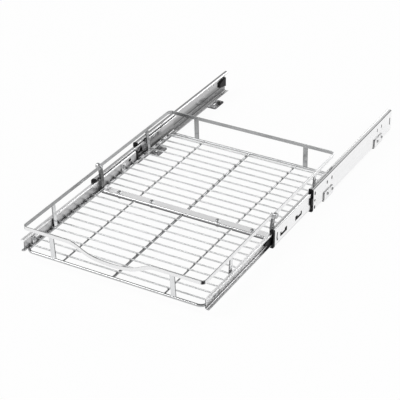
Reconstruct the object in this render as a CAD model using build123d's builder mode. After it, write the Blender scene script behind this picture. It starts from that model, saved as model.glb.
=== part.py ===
from build123d import *
import os

# Pull out cabinet basket: a wire basket in two halves on a pair of full-extension ball slides.
# Millimetres. +Z is up and +Y runs towards the back of the cabinet, so the basket pulls out along -Y.
# The origin is on the cabinet floor, midway between the four floor screws.
# The slides are drawn fully pulled out. Every slide piece is drawn for the right-hand side (+X)
# and written a second time as its mirror image.

os.makedirs("parts", exist_ok=True)

# --- Slides: overall sizes ---
slide_outer_x = 185.75          # outboard face of the cabinet rails
slide_width = 12.7              # outboard face of the cabinet rail to inboard face of the drawer rail
rail_height = 45.0              # cabinet rail
rail_length = 356.0             # cabinet rail and drawer rail
middle_length = 286.0
middle_set_back = 30.5          # closed, the middle rail ends this far short of the cabinet rail's rear
rail_front_y = -177.0           # front end of the cabinet rail
travel = 369.0                  # drawer rail, from fully out to flush with the cabinet rail
middle_share = 0.5              # share of the travel that the middle rail makes
sheet = 1.2                     # thickness of the rails
drawer_lip = 1.2                # how far the drawer rail's flange tips turn in
web_bend = 2.2                  # bend radii on the middle of the sheet
cabinet_bend = 3.2
lip_bend = 0.9

# --- Slides: balls and cages ---
ball_d = 3.97
ball_clearance = 0.05
ball_pitch = 10.0
cage_sheet = 0.8
cage_clearance = 0.3
cage_end = 6.0                  # from the last ball to the end of its cage
cage_bend = 1.2
cage_hole_gap = 0.12
outer_ball_count = 12
outer_cage_lead = 22.0          # first ball, behind the cabinet rail's front end
inner_ball_count = 10
inner_cage_lead = 28.0          # first ball, behind the middle rail's front end
lip_clearance = 0.4
running_gap = 0.35              # between pieces that pass each other

# --- Slides: holes and slots ---
fixing_lead = 7.0               # holes behind the front end of the cabinet rail's web
fixing_drop = 2.0               # the round one sits this far below the middle of the slide
fixing_pitch = 14.0
fixing_d = 4.8
fixing_slot_length = 7.2
upper_hole_rise = 9.5
upper_hole_length = 7.0
upper_hole_width = 4.2
stop_slot_lead = 8.0            # slot for the rear stop, ahead of the cabinet rail's rear end
stop_slot_rise = 1.5
stop_slot_length = 16.0
stop_slot_width = 3.5
slot_leads = (20.0, 78.0, 143.0)  # J-shaped slots, behind the middle rail's front end
slot_length = 26.0
slot_width = 4.8
slot_drop = 4.0
slot_head_length = 9.0
slot_head_height = 8.5
slot_tail_length = 4.5
slot_tail_height = 6.0
slot_head_sides = (1, -1, 1)     # 1 puts a slot's head at its rear end, -1 at its front end
crescent_lead = 10.0            # ends of the crescent slot, behind the middle rail's front end
crescent_half = 8.0
crescent_bulge = 2.5
crescent_width = 3.4

# --- Brackets on the cabinet floor ---
foot_thickness = 2.0
bracket_length = 37.5
bracket_y = 114.0               # centres of the front and rear brackets, either side of the origin
bracket_leg_top = 18.5
foot_reach = 24.95              # from the rail's outboard face to the foot's inboard end
floor_screw_inset = 19.25
floor_screw_d = 4.5
floor_slot_inset = 12.35
floor_slot_length = 13.0
floor_slot_width = 4.4
bracket_bend = 2.4
foot_corner = 4.0
leg_corner = 2.0
rib_length = 9.0
rib_width = 3.0
rib_edge = 4.5                  # middle of a rib from the bracket's end
rib_height = 0.8
rib_taper = 30
rivet_d = 4.0
rivet_head_d = 6.0
rivet_head = 0.9
rivet_bore_d = 3.0
rivet_bore_depth = 2.5
rivet_pitch = 20.0
rivet_lead = 5.0                # the rivets sit this far behind the middle of their bracket
rivet_z = 11.0
fit_gap = 0.05                  # radial clearance of pins, rivets and screws in their holes

# --- Basket ---
rod_wall_gap = 0.25             # between a side rod and the drawer rail's web
front_rod_set_back = 1.5        # from the drawer rail's front end
rear_overhang = 126.5           # the basket is this much longer than its rails
seam_lead = 7.0                 # the two halves meet this far ahead of the basket's middle
rod_d = 5.0
wire_d = 2.8
middle_wire_d = 4.5
side_wire_x = 97.6
deck_z = 20.0                   # middle of the cross wires
rear_wire_count = 11
rear_seam_bay = 22.25           # from the seam to the first cross wire behind it
rear_end_bay = 16.0             # from the last cross wire to the rear rod
front_wire_count = 10
front_seam_bay = 30.75
front_end_bay = 14.5
weld_gap = 0.05
corner_radius = 12.0
cross_rod_offset = 5.1          # each half's cross rod, from the seam
seam_gap = 0.3

# --- Rims and posts ---
strip = 2.0                     # thickness of the rim and post strips
rim_height = 6.2
rim_top = 66.0
rim_flare = 2.0                 # the front half's rim stands this far outboard of its side rods
front_rim_lean = 3.5            # how far each rim's cross strip stands ahead of its rod
rear_rim_lean = 1.5
rim_corner = 9.0
leg_width = 8.7
post_x = 115.0
front_post_inset = 85.5         # side posts, from the rod across each end
rear_post_inset = 86.0
leg_bend_z = 38.0
dip_half_width = 76.0
dip_foot = 40.0
dip_shoulder_depth = 17.0
dip_depth = 21.5
dip_radii = [40.0, 80.0, 200.0, 80.0, 40.0]
leg_corner_radius = 5.0
leg_wall_gap = 0.25             # between the rear half's leg and the drawer rail

# --- Fasteners ---
screw_d = 4.0
screw_head_d = 7.6
screw_head = 2.4
screw_head_round = 1.2
nut_across_flats = 7.0
nut_height = 3.2
nut_flange_d = 10.0
nut_flange = 1.0
screw_tail = 1.5                # thread that stands past a nut
rim_bolt_d = 4.0
rim_bolt_head_d = 6.0
rim_bolt_head = 2.6
cap_nut_d = 10.6
cap_nut_length = 6.2
cap_nut_wall = 1.6
cap_nut_round = 3.0
cap_nut_gap = 0.4

# --- Joining strip ---
joint_sheet = 1.5
joint_width = 18.5
joint_drop = 5.6
joint_end_gap = 3.8             # from the strip's end to the middle of a side rod
joint_screw_x = (66.5, 134.0)
notch_gap = 1.0

# --- Tabs that carry the basket on the drawer rails ---
tab_sheet = 1.9
tab_length = 13.0
tab_height = 13.5
tab_front_inset = 27.5          # from each end of the drawer rail
tab_rear_inset = 45.5
tab_hole_height = 7.0
tab_corner = 3.0
front_slot_lead = 14.0          # a slot in the drawer rail's web behind its front screw
front_slot_length = 10.0
front_slot_width = 4.0

# --- Black plastic pieces ---
bumper_length = 1.8
bumper_proud = 0.5
bumper_nose = 5.5
bumper_nose_height = 13.0
bumper_tongue = 14.0            # inside the web, behind its front holes
bumper_tongue_half = 16.5
middle_bumper_length = 5.0
middle_bumper_tongue = 16.0
stop_front_gap = 1.5
stop_length = 27.0
stop_rear_half = 10.0
stop_front_half = 4.0
stop_corner = 1.5
stop_bevel = 2.5
tongue_half = 9.5
lever_set_back = 15.0           # the lever's pin sits this far behind the middle rail's front end
lever_pivot_d = 3.6
lever_thickness = 3.8
lever_reach = 42.0
lever_shoulder = 16.0
lever_waist = 25.0
lever_half_height = 8.0
lever_tip_half_height = 1.6
lever_hub_radius = 5.0
lever_head_d = 6.4
lever_head = 1.0
lever_head_gap = 0.1
rear_bumper_length = 14.0
rear_bumper_overhang = 7.0
rear_bumper_half = 9.0
rear_window_length = 8.0
window_height = 5.0
window_rise = 4.0

# --- Sizes worked out from the ones above ---
slide_z = foot_thickness + rail_height / 2
ball_gap = ball_d + 2 * ball_clearance
cabinet_half = rail_height / 2
middle_half = cabinet_half - sheet - ball_gap
drawer_half = middle_half - sheet - ball_gap
outer_ball_z = cabinet_half - sheet - ball_gap / 2
inner_ball_z = middle_half - sheet - ball_gap / 2
rail_rear_y = rail_front_y + rail_length
drawer_rear_y = rail_rear_y - travel
drawer_front_y = drawer_rear_y - rail_length
middle_closed_rear_y = rail_rear_y - middle_set_back
middle_rear_y = middle_closed_rear_y - travel * middle_share
middle_front_y = middle_rear_y - middle_length
lever_pivot_y = middle_front_y + lever_set_back
outer_first_ball_y = rail_front_y + outer_cage_lead
inner_first_ball_y = middle_front_y + inner_cage_lead
tab_front_y = drawer_front_y + tab_front_inset
tab_rear_y = drawer_rear_y - tab_rear_inset

# Section of the slide, from its outboard face inwards. Each x is the middle of the sheet.
cabinet_web_x = slide_outer_x - sheet / 2
outer_cage_x = slide_outer_x - sheet - cage_clearance - cage_sheet / 2
middle_web_x = outer_cage_x - cage_sheet / 2 - cage_clearance - sheet / 2
inner_cage_x = middle_web_x - sheet / 2 - running_gap - cage_sheet / 2
drawer_lip_x = inner_cage_x - cage_sheet / 2 - running_gap - sheet / 2
drawer_inner_x = slide_outer_x - slide_width
drawer_web_x = drawer_inner_x + sheet / 2
outer_ball_x = middle_web_x + sheet / 2 - web_bend - sheet
inner_ball_x = drawer_lip_x - sheet / 2 - lip_bend
cabinet_lip_x = outer_ball_x - ball_d / 2 - lip_clearance - sheet / 2
middle_lip_x = inner_ball_x - ball_d / 2 - lip_clearance - sheet / 2
lip_depth = ball_gap / 2 - cage_sheet / 2 - lip_clearance
cage_tip = ball_d / 2 + lip_clearance + sheet / 2

foot_inner_x = slide_outer_x - foot_reach
floor_screw_x = slide_outer_x - floor_screw_inset
floor_slot_x = slide_outer_x - floor_slot_inset

side_rod_x = drawer_inner_x - rod_wall_gap - rod_d / 2
front_rod_y = drawer_front_y + front_rod_set_back
rear_rod_y = front_rod_y + rail_length + rear_overhang
seam_y = (front_rod_y + rear_rod_y) / 2 - seam_lead
rear_rim_y = rear_rod_y - rear_rim_lean
front_rim_y = front_rod_y - front_rim_lean
front_rim_x = side_rod_x + rim_flare
front_post_y = front_rod_y + front_post_inset
rear_post_y = rear_rod_y - rear_post_inset
joint_half_length = side_rod_x - joint_end_gap
rod_z = deck_z - wire_d / 2 - rod_d / 2 - weld_gap
rod_top = rod_z + rod_d / 2
rim_bottom = rim_top - rim_height
rim_mid_z = rim_top - rim_height / 2
rear_rim_x = front_rim_x + strip + weld_gap
post_foot_z = rod_top + weld_gap


def cross_plane(y):
    """The XZ plane at y. Its normal points to -Y, so an extrusion from it runs forwards."""
    return Plane.XZ.offset(-y)


def side_plane(x):
    """The YZ plane at x. Its normal points to +X."""
    return Plane.YZ.offset(x)


def bent_sheet(plane, points, thickness, radii):
    """Section of a bent sheet, drawn along the middle of its thickness."""
    with BuildSketch(plane) as section:
        with BuildLine():
            FilletPolyline(*points, radius=radii)
        trace(line_width=thickness)
    return section.sketch


def rail_section(y, web_x, lip_x, half_height, depth, bend):
    """C section of a rail with its flange tips turned in by depth."""
    flange = half_height - sheet / 2
    tip = half_height - sheet - depth
    points = [
        (lip_x, slide_z + tip),
        (lip_x, slide_z + flange),
        (web_x, slide_z + flange),
        (web_x, slide_z - flange),
        (lip_x, slide_z - flange),
        (lip_x, slide_z - tip),
    ]
    return bent_sheet(cross_plane(y), points, sheet, [lip_bend, bend, bend, lip_bend])


def post_side(plane, foot, head, foot_z, head_z):
    """Side view of a straight post that leans from foot to head."""
    half = strip / 2
    with BuildSketch(plane) as section:
        with BuildLine():
            Polyline(
                (foot - half, foot_z),
                (foot + half, foot_z),
                (head + half, head_z),
                (head - half, head_z),
                close=True,
            )
        make_face()
    return section.sketch


def write(piece, name):
    """Labels a piece and writes its STEP file."""
    piece.part.label = name
    export_step(piece.part, f"parts/{name}.step")


def write_pair(right_piece, name):
    """Writes a right-hand piece and its mirror image."""
    with BuildPart() as left_piece:
        mirror(right_piece.part, about=Plane.YZ)
    write(right_piece, f"right_{name}")
    write(left_piece, f"left_{name}")


# ---------------------------------------------------------------- cabinet side of the slides

# Cabinet rail: C section, screw holes in its web and a slot for the rear stop.
fixing_y = rail_front_y + fixing_lead
fixing_z = slide_z - fixing_drop
upper_hole_z = slide_z + upper_hole_rise
stop_slot_y = rail_rear_y - stop_slot_lead
stop_slot_z = slide_z + stop_slot_rise
rivet_rows = [
    side * bracket_y + rivet_lead + step * rivet_pitch / 2 for side in (-1, 1) for step in (-1, 1)
]

with BuildPart() as cabinet_rail:
    extrude(
        rail_section(rail_rear_y, cabinet_web_x, cabinet_lip_x, cabinet_half, lip_depth, cabinet_bend),
        amount=rail_length,
    )
    with BuildSketch(side_plane(slide_outer_x)):
        with Locations((fixing_y, fixing_z)):
            Circle(fixing_d / 2)
        with Locations((fixing_y, fixing_z + fixing_pitch), (fixing_y, fixing_z - fixing_pitch)):
            SlotOverall(fixing_slot_length, fixing_d, rotation=90)
        with Locations([(y, upper_hole_z) for y in rivet_rows]):
            SlotOverall(upper_hole_length, upper_hole_width, rotation=90)
        with Locations([(y, rivet_z) for y in rivet_rows]):
            Circle(rivet_d / 2 + fit_gap)
        with Locations((stop_slot_y, stop_slot_z)):
            SlotOverall(stop_slot_length, stop_slot_width, rotation=90)
    extrude(amount=-sheet, mode=Mode.SUBTRACT)
write_pair(cabinet_rail, "cabinet_rail")


# L brackets: a leg on the outboard face of the rail and a foot that runs inboard under it.
def bracket(middle_y):
    """One L bracket with its rivet holes, floor screw hole, slot and pressed ribs."""
    leg_x = slide_outer_x + foot_thickness / 2
    foot_z = foot_thickness / 2
    rib_x = foot_inner_x + rib_length
    rib_y = bracket_length / 2 - rib_edge
    rivet_ys = [middle_y + rivet_lead + step * rivet_pitch / 2 for step in (-1, 1)]
    with BuildPart() as piece:
        extrude(
            bent_sheet(
                cross_plane(middle_y + bracket_length / 2),
                [(leg_x, bracket_leg_top), (leg_x, foot_z), (foot_inner_x, foot_z)],
                foot_thickness,
                bracket_bend,
            ),
            amount=bracket_length,
        )
        fillet(piece.edges().filter_by(Axis.Z).group_by(Axis.X)[0], foot_corner)
        fillet(piece.edges().filter_by(Axis.X).group_by(Axis.Z)[-1], leg_corner)
        with BuildSketch(Plane.XY.offset(foot_thickness)):
            with Locations((floor_screw_x, middle_y)):
                Circle(floor_screw_d / 2)
            with Locations((floor_slot_x, middle_y)):
                SlotOverall(floor_slot_length, floor_slot_width, rotation=90)
        extrude(amount=-foot_thickness, mode=Mode.SUBTRACT)
        with BuildSketch(side_plane(slide_outer_x)):
            with Locations([(y, rivet_z) for y in rivet_ys]):
                Circle(rivet_d / 2 + fit_gap)
        extrude(amount=foot_thickness, mode=Mode.SUBTRACT)
        with BuildSketch(Plane.XY.offset(foot_thickness)):
            with Locations((rib_x, middle_y - rib_y), (rib_x, middle_y + rib_y)):
                SlotOverall(rib_length, rib_width)
        extrude(amount=rib_height, taper=rib_taper)
    return piece


write_pair(bracket(-bracket_y), "front_bracket")
write_pair(bracket(bracket_y), "rear_bracket")

# Rivets: flush inside the rail, a hollow head outside the bracket's leg.
with BuildPart() as bracket_rivets:
    with BuildSketch(side_plane(slide_outer_x - sheet)):
        with Locations([(y, rivet_z) for y in rivet_rows]):
            Circle(rivet_d / 2)
    extrude(amount=sheet + foot_thickness)
    with BuildSketch(side_plane(slide_outer_x + foot_thickness)):
        with Locations([(y, rivet_z) for y in rivet_rows]):
            Circle(rivet_head_d / 2)
    extrude(amount=rivet_head)
    with BuildSketch(side_plane(slide_outer_x + foot_thickness + rivet_head)):
        with Locations([(y, rivet_z) for y in rivet_rows]):
            Circle(rivet_bore_d / 2)
    extrude(amount=-rivet_bore_depth, mode=Mode.SUBTRACT)
write_pair(bracket_rivets, "bracket_rivets")

# Front bumper: a plastic band round the cabinet rail's front end, open inboard, with a tongue
# inside the web.
band_inner_x = middle_web_x + sheet / 2 + running_gap
band_outer_x = slide_outer_x + bumper_proud
band_half = cabinet_half + bumper_proud
band_opening = middle_half + running_gap
tongue_web_x = slide_outer_x - sheet - fit_gap
with BuildPart() as rail_bumper:
    with BuildSketch(cross_plane(rail_front_y)) as band:
        with Locations(((band_outer_x + cabinet_lip_x) / 2, slide_z)):
            Rectangle(band_outer_x - cabinet_lip_x, 2 * band_half)
        fillet(band.vertices().group_by(Axis.X)[-1], cabinet_bend + sheet / 2)
        with Locations(((band_inner_x + drawer_inner_x) / 2, slide_z)):
            Rectangle(band_inner_x - drawer_inner_x, 2 * band_opening, mode=Mode.SUBTRACT)
    extrude(amount=bumper_length)
    with BuildSketch(cross_plane(rail_front_y - bumper_length)):
        with Locations(((band_outer_x + band_inner_x) / 2, slide_z)):
            Rectangle(band_outer_x - band_inner_x, bumper_nose_height)
    extrude(amount=bumper_nose)
    with BuildSketch(cross_plane(rail_front_y + bumper_tongue)):
        with Locations(((tongue_web_x + band_inner_x) / 2, slide_z)):
            Rectangle(tongue_web_x - band_inner_x, 2 * bumper_tongue_half)
    extrude(amount=bumper_tongue)
write_pair(rail_bumper, "rail_bumper")

# Rear stop: a plastic wedge on the inside of the cabinet rail's web.
stop_outer_x = slide_outer_x - sheet
stop_inner_x = drawer_lip_x + sheet / 2 + running_gap
stop_front_y = middle_closed_rear_y + stop_front_gap
with BuildPart() as rear_stop:
    with BuildSketch(side_plane(stop_inner_x)) as wedge:
        Polygon(
            (stop_front_y, slide_z - stop_front_half),
            (stop_front_y, slide_z + stop_front_half),
            (stop_front_y + stop_length, slide_z + stop_rear_half),
            (stop_front_y + stop_length, slide_z - stop_rear_half),
            align=None,
        )
        fillet(wedge.vertices().group_by(Axis.Y)[-1], stop_corner)
    extrude(amount=stop_outer_x - stop_inner_x)
    chamfer(rear_stop.faces().sort_by(Axis.X)[0].edges().sort_by(Axis.Y)[0], stop_bevel)
write_pair(rear_stop, "rear_stop")


# ---------------------------------------------------------------- ball cages and balls

def cage(web_x, ball_x, ball_z, first_y, count):
    """U-shaped cage with a round hole for each ball of its two rows."""
    length = (count - 1) * ball_pitch + 2 * cage_end
    ball_ys = [first_y + i * ball_pitch for i in range(count)]
    points = [
        (ball_x - cage_tip, slide_z + ball_z),
        (web_x, slide_z + ball_z),
        (web_x, slide_z - ball_z),
        (ball_x - cage_tip, slide_z - ball_z),
    ]
    with BuildPart() as piece:
        extrude(
            bent_sheet(cross_plane(first_y - cage_end + length), points, cage_sheet, cage_bend),
            amount=length,
        )
        for row in (1, -1):
            with BuildSketch(Plane.XY.offset(slide_z + row * ball_z - cage_sheet)):
                with Locations([(ball_x, y) for y in ball_ys]):
                    Circle(ball_d / 2 + cage_hole_gap)
            extrude(amount=2 * cage_sheet, mode=Mode.SUBTRACT)
    return piece


def ball_set(ball_x, ball_z, first_y, count):
    """Two rows of balls, above and below the middle of the slide."""
    ball_ys = [first_y + i * ball_pitch for i in range(count)]
    with BuildPart() as piece:
        for row in (1, -1):
            with Locations([(ball_x, y, slide_z + row * ball_z) for y in ball_ys]):
                Sphere(ball_d / 2)
    return piece


outer_row = (outer_ball_x, outer_ball_z, outer_first_ball_y, outer_ball_count)
inner_row = (inner_ball_x, inner_ball_z, inner_first_ball_y, inner_ball_count)
write_pair(cage(outer_cage_x, *outer_row), "outer_ball_cage")
write_pair(ball_set(*outer_row), "outer_balls")
write_pair(cage(inner_cage_x, *inner_row), "inner_ball_cage")
write_pair(ball_set(*inner_row), "inner_balls")


# ---------------------------------------------------------------- middle rails

# Middle rail: C section with J-shaped slots and a crescent slot in its web.
slot_middles = [middle_front_y + lead + slot_length / 2 for lead in slot_leads]
slot_z = slide_z - slot_drop
crescent_y = middle_front_y + crescent_lead

with BuildPart() as middle_rail:
    extrude(
        rail_section(middle_rear_y, middle_web_x, middle_lip_x, middle_half, lip_depth, web_bend),
        amount=middle_length,
    )
    with BuildSketch(side_plane(middle_web_x + sheet / 2)):
        for middle, side in zip(slot_middles, slot_head_sides):
            with Locations((middle, slot_z)):
                SlotOverall(slot_length, slot_width)
            head_y = middle + side * (slot_length - slot_head_length) / 2
            with Locations((head_y, slot_z - slot_width / 2)):
                Rectangle(slot_head_length, slot_head_height, align=(Align.CENTER, Align.MIN))
            tail_y = middle - side * (slot_length - slot_tail_length) / 2
            with Locations((tail_y, slot_z)):
                Rectangle(slot_tail_length, slot_tail_height, align=(Align.CENTER, Align.MIN))
        with BuildLine():
            ThreePointArc(
                (crescent_y, slide_z - crescent_half),
                (crescent_y - crescent_bulge, slide_z),
                (crescent_y, slide_z + crescent_half),
            )
        trace(line_width=crescent_width)
    extrude(amount=-sheet, mode=Mode.SUBTRACT)
write_pair(middle_rail, "middle_rail")

# Middle bumper: a plastic cap on the middle rail's front end, with a tongue inside the web.
tongue_outer_x = middle_web_x - sheet / 2
cap_opening_x = drawer_lip_x + sheet / 2 + running_gap
cap_opening = drawer_half + running_gap
cap_inner_x = middle_lip_x - sheet / 2
cap_outer_x = middle_web_x + sheet / 2
with BuildPart() as middle_bumper:
    with BuildSketch(cross_plane(middle_front_y)):
        with Locations(((cap_outer_x + cap_inner_x) / 2, slide_z)):
            RectangleRounded(cap_outer_x - cap_inner_x, 2 * middle_half, web_bend)
        with Locations(((cap_opening_x + cap_inner_x) / 2 - web_bend, slide_z)):
            Rectangle(cap_opening_x - cap_inner_x + 2 * web_bend, 2 * cap_opening, mode=Mode.SUBTRACT)
    extrude(amount=middle_bumper_length)
    with BuildSketch(cross_plane(middle_front_y + middle_bumper_tongue)):
        with Locations(((tongue_outer_x + cap_opening_x) / 2, slide_z)):
            Rectangle(tongue_outer_x - cap_opening_x, 2 * tongue_half)
    extrude(amount=middle_bumper_tongue)
write_pair(middle_bumper, "middle_bumper")


# ---------------------------------------------------------------- drawer rails and what they carry

tab_screw_z = post_foot_z + tab_hole_height
tab_rows = (tab_front_y, tab_rear_y)
window_y = drawer_rear_y - rear_bumper_length - rear_window_length

# Drawer rail: C section open outboard, with its screw holes, pin hole and a window at the rear.
with BuildPart() as drawer_rail:
    extrude(
        rail_section(drawer_rear_y, drawer_web_x, drawer_lip_x, drawer_half, drawer_lip, web_bend),
        amount=rail_length,
    )
    with BuildSketch(side_plane(drawer_inner_x)):
        with Locations([(y, tab_screw_z) for y in tab_rows]):
            Circle(screw_d / 2 + fit_gap)
        with Locations((lever_pivot_y, slide_z)):
            Circle(lever_pivot_d / 2 + fit_gap)
        with Locations((window_y, slide_z + window_rise)):
            SlotOverall(rear_window_length, window_height)
        with Locations((tab_front_y + front_slot_lead, slide_z)):
            SlotOverall(front_slot_length, front_slot_width)
    extrude(amount=sheet, mode=Mode.SUBTRACT)
write_pair(drawer_rail, "drawer_rail")

# Tabs: small plates that stand on the side rods against the drawer rail's web.
tab_outer_x = drawer_inner_x - weld_gap
with BuildPart() as rail_tabs:
    with BuildSketch(side_plane(tab_outer_x - tab_sheet)):
        with Locations([(y, post_foot_z + tab_height / 2) for y in tab_rows]):
            Rectangle(tab_length, tab_height)
    extrude(amount=tab_sheet)
    fillet(rail_tabs.edges().filter_by(Axis.X).group_by(Axis.Z)[-1], tab_corner)
    with BuildSketch(side_plane(tab_outer_x - tab_sheet)):
        with Locations([(y, tab_screw_z) for y in tab_rows]):
            Circle(screw_d / 2 + fit_gap)
    extrude(amount=tab_sheet, mode=Mode.SUBTRACT)
write_pair(rail_tabs, "rail_tabs")

# Screws through tab and drawer rail, heads inboard, and their nuts in the rail's channel.
rail_nut_x = drawer_inner_x + sheet
with BuildPart() as rail_screws:
    with BuildSketch(side_plane(tab_outer_x - tab_sheet)):
        with Locations([(y, tab_screw_z) for y in tab_rows]):
            Circle(screw_head_d / 2)
    extrude(amount=-screw_head)
    fillet(rail_screws.edges().group_by(Axis.X)[0], screw_head_round)
    with BuildSketch(side_plane(tab_outer_x - tab_sheet)):
        with Locations([(y, tab_screw_z) for y in tab_rows]):
            Circle(screw_d / 2)
    extrude(amount=rail_nut_x + nut_height + screw_tail / 2 - tab_outer_x + tab_sheet)
write_pair(rail_screws, "rail_screws")

with BuildPart() as rail_nuts:
    with BuildSketch(side_plane(rail_nut_x)):
        with Locations([(y, tab_screw_z) for y in tab_rows]):
            RegularPolygon(nut_across_flats / 2, 6, major_radius=False)
            Circle(screw_d / 2 + fit_gap, mode=Mode.SUBTRACT)
    extrude(amount=nut_height)
write_pair(rail_nuts, "rail_nuts")

# Release lever: a tapered plastic lever on a pin in the drawer rail's channel.
lever_inner_x = drawer_inner_x + sheet + running_gap
with BuildPart() as release_lever:
    with BuildSketch(side_plane(lever_inner_x)):
        with BuildLine():
            Polyline(
                (lever_pivot_y, slide_z + lever_hub_radius),
                (lever_pivot_y - lever_shoulder, slide_z + lever_half_height),
                (lever_pivot_y - lever_waist, slide_z + lever_half_height),
                (lever_pivot_y - lever_reach, slide_z + lever_tip_half_height),
                (lever_pivot_y - lever_reach, slide_z - lever_tip_half_height),
                (lever_pivot_y - lever_waist, slide_z - lever_half_height),
                (lever_pivot_y - lever_shoulder, slide_z - lever_half_height),
                (lever_pivot_y, slide_z - lever_hub_radius),
                close=True,
            )
        make_face()
        with Locations((lever_pivot_y, slide_z)):
            Circle(lever_hub_radius)
            Circle(lever_pivot_d / 2 + fit_gap, mode=Mode.SUBTRACT)
    extrude(amount=lever_thickness)
write_pair(release_lever, "release_lever")

with BuildPart() as lever_pin:
    with BuildSketch(side_plane(drawer_inner_x)):
        with Locations((lever_pivot_y, slide_z)):
            Circle(lever_pivot_d / 2)
    extrude(amount=sheet + running_gap + lever_thickness + lever_head_gap)
    with BuildSketch(side_plane(lever_inner_x + lever_thickness + lever_head_gap)):
        with Locations((lever_pivot_y, slide_z)):
            Circle(lever_head_d / 2)
    extrude(amount=lever_head)
write_pair(lever_pin, "lever_pin")

# Rear bumper: a plastic block in the end of the drawer rail's channel, standing out behind it.
with BuildPart() as drawer_bumper:
    with BuildSketch(side_plane(drawer_inner_x + sheet)):
        with Locations((drawer_rear_y - rear_bumper_length, slide_z)):
            Rectangle(rear_bumper_length, 2 * rear_bumper_half, align=(Align.MIN, Align.CENTER))
    extrude(amount=lever_thickness)
    with BuildSketch(side_plane(drawer_inner_x)):
        with Locations((drawer_rear_y, slide_z)):
            Rectangle(rear_bumper_overhang, 2 * rear_bumper_half, align=(Align.MIN, Align.CENTER))
    extrude(amount=sheet + lever_thickness)
write_pair(drawer_bumper, "drawer_bumper")


# ---------------------------------------------------------------- basket floor

front_cross_y = seam_y - cross_rod_offset
rear_cross_y = seam_y + cross_rod_offset


def base_frame(end_y, open_y):
    """U-shaped perimeter rod: across at end_y, side rods that run to open_y."""
    with BuildPart() as piece:
        with BuildLine(Plane.XY.offset(rod_z)) as route:
            FilletPolyline(
                (side_rod_x, open_y),
                (side_rod_x, end_y),
                (-side_rod_x, end_y),
                (-side_rod_x, open_y),
                radius=corner_radius,
            )
        with BuildSketch(Plane(origin=route.line @ 0, z_dir=route.line % 0)):
            Circle(rod_d / 2)
        sweep()
    return piece


def wire_rows(first_y, last_y, count):
    """Even rows of cross wires from first_y to last_y."""
    pitch = (last_y - first_y) / (count - 1)
    return [first_y + i * pitch for i in range(count)]


def wires_across(diameter, rows, z, half_length):
    """Straight wires along X, one for each y in rows."""
    with BuildPart() as piece:
        with BuildSketch(side_plane(-half_length)):
            with Locations([(y, z) for y in rows]):
                Circle(diameter / 2)
        extrude(amount=2 * half_length)
    return piece


def wires_along(front_y, rear_y):
    """The lengthwise wires of one half: a thick one in the middle and a thin one either side."""
    with BuildPart() as piece:
        with BuildSketch(cross_plane(rear_y)):
            with Locations((0, deck_z - wire_d / 2 - middle_wire_d / 2 - weld_gap)):
                Circle(middle_wire_d / 2)
            with Locations([(side * side_wire_x, deck_z - wire_d - weld_gap) for side in (-1, 1)]):
                Circle(wire_d / 2)
        extrude(amount=rear_y - front_y)
    return piece


front_rows = wire_rows(seam_y - front_seam_bay, front_rod_y + front_end_bay, front_wire_count)
rear_rows = wire_rows(seam_y + rear_seam_bay, rear_rod_y - rear_end_bay, rear_wire_count)
wire_end = rod_d / 2 + weld_gap
cross_rod_half = side_rod_x - wire_end
write(base_frame(front_rod_y, seam_y - seam_gap / 2), "front_base_rod")
write(base_frame(rear_rod_y, seam_y + seam_gap / 2), "rear_base_rod")
write(wires_across(rod_d, [front_cross_y], rod_z, cross_rod_half), "front_cross_rod")
write(wires_across(rod_d, [rear_cross_y], rod_z, cross_rod_half), "rear_cross_rod")
write(wires_across(wire_d, front_rows, deck_z, side_rod_x + wire_d / 2), "front_cross_wires")
write(wires_across(wire_d, rear_rows, deck_z, side_rod_x + wire_d / 2), "rear_cross_wires")
write(wires_along(front_rod_y + wire_end, front_cross_y - wire_end), "front_long_wires")
write(wires_along(rear_cross_y + wire_end, rear_rod_y - wire_end), "rear_long_wires")

# Joining strip: a shallow channel over both cross rods, notched where the lengthwise wires end.
joint_top_z = rod_top + weld_gap + joint_sheet
joint_mid_z = joint_top_z - joint_sheet / 2
joint_half = joint_width / 2 - joint_sheet / 2
joint_screw_places = [(side * x, seam_y) for side in (-1, 1) for x in joint_screw_x]
with BuildPart() as joining_strip:
    extrude(
        bent_sheet(
            side_plane(-joint_half_length),
            [
                (seam_y - joint_half, joint_top_z - joint_drop),
                (seam_y - joint_half, joint_mid_z),
                (seam_y + joint_half, joint_mid_z),
                (seam_y + joint_half, joint_top_z - joint_drop),
            ],
            joint_sheet,
            joint_sheet,
        ),
        amount=2 * joint_half_length,
    )
    with BuildSketch(Plane.XY.offset(joint_top_z)):
        with Locations(joint_screw_places):
            Circle(screw_d / 2 + fit_gap)
    extrude(amount=-joint_sheet, mode=Mode.SUBTRACT)
    with BuildSketch(cross_plane(seam_y + joint_width)):
        with Locations((0, joint_top_z - joint_sheet)):
            Rectangle(middle_wire_d + notch_gap, joint_drop, align=(Align.CENTER, Align.MAX))
        with Locations([(side * side_wire_x, joint_top_z - joint_sheet) for side in (-1, 1)]):
            Rectangle(wire_d + notch_gap, joint_drop, align=(Align.CENTER, Align.MAX))
    extrude(amount=2 * joint_width, mode=Mode.SUBTRACT)
write(joining_strip, "joining_strip")

joint_nut_top_z = rod_z - rod_d / 2 - weld_gap
with BuildPart() as joining_screws:
    with BuildSketch(Plane.XY.offset(joint_top_z)):
        with Locations(joint_screw_places):
            Circle(screw_head_d / 2)
    extrude(amount=screw_head)
    fillet(joining_screws.edges().group_by(Axis.Z)[-1], screw_head_round)
    with BuildSketch(Plane.XY.offset(joint_top_z)):
        with Locations(joint_screw_places):
            Circle(screw_d / 2)
    extrude(amount=-(joint_top_z - joint_nut_top_z + nut_flange + nut_height + screw_tail))
write(joining_screws, "joining_screws")

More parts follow.
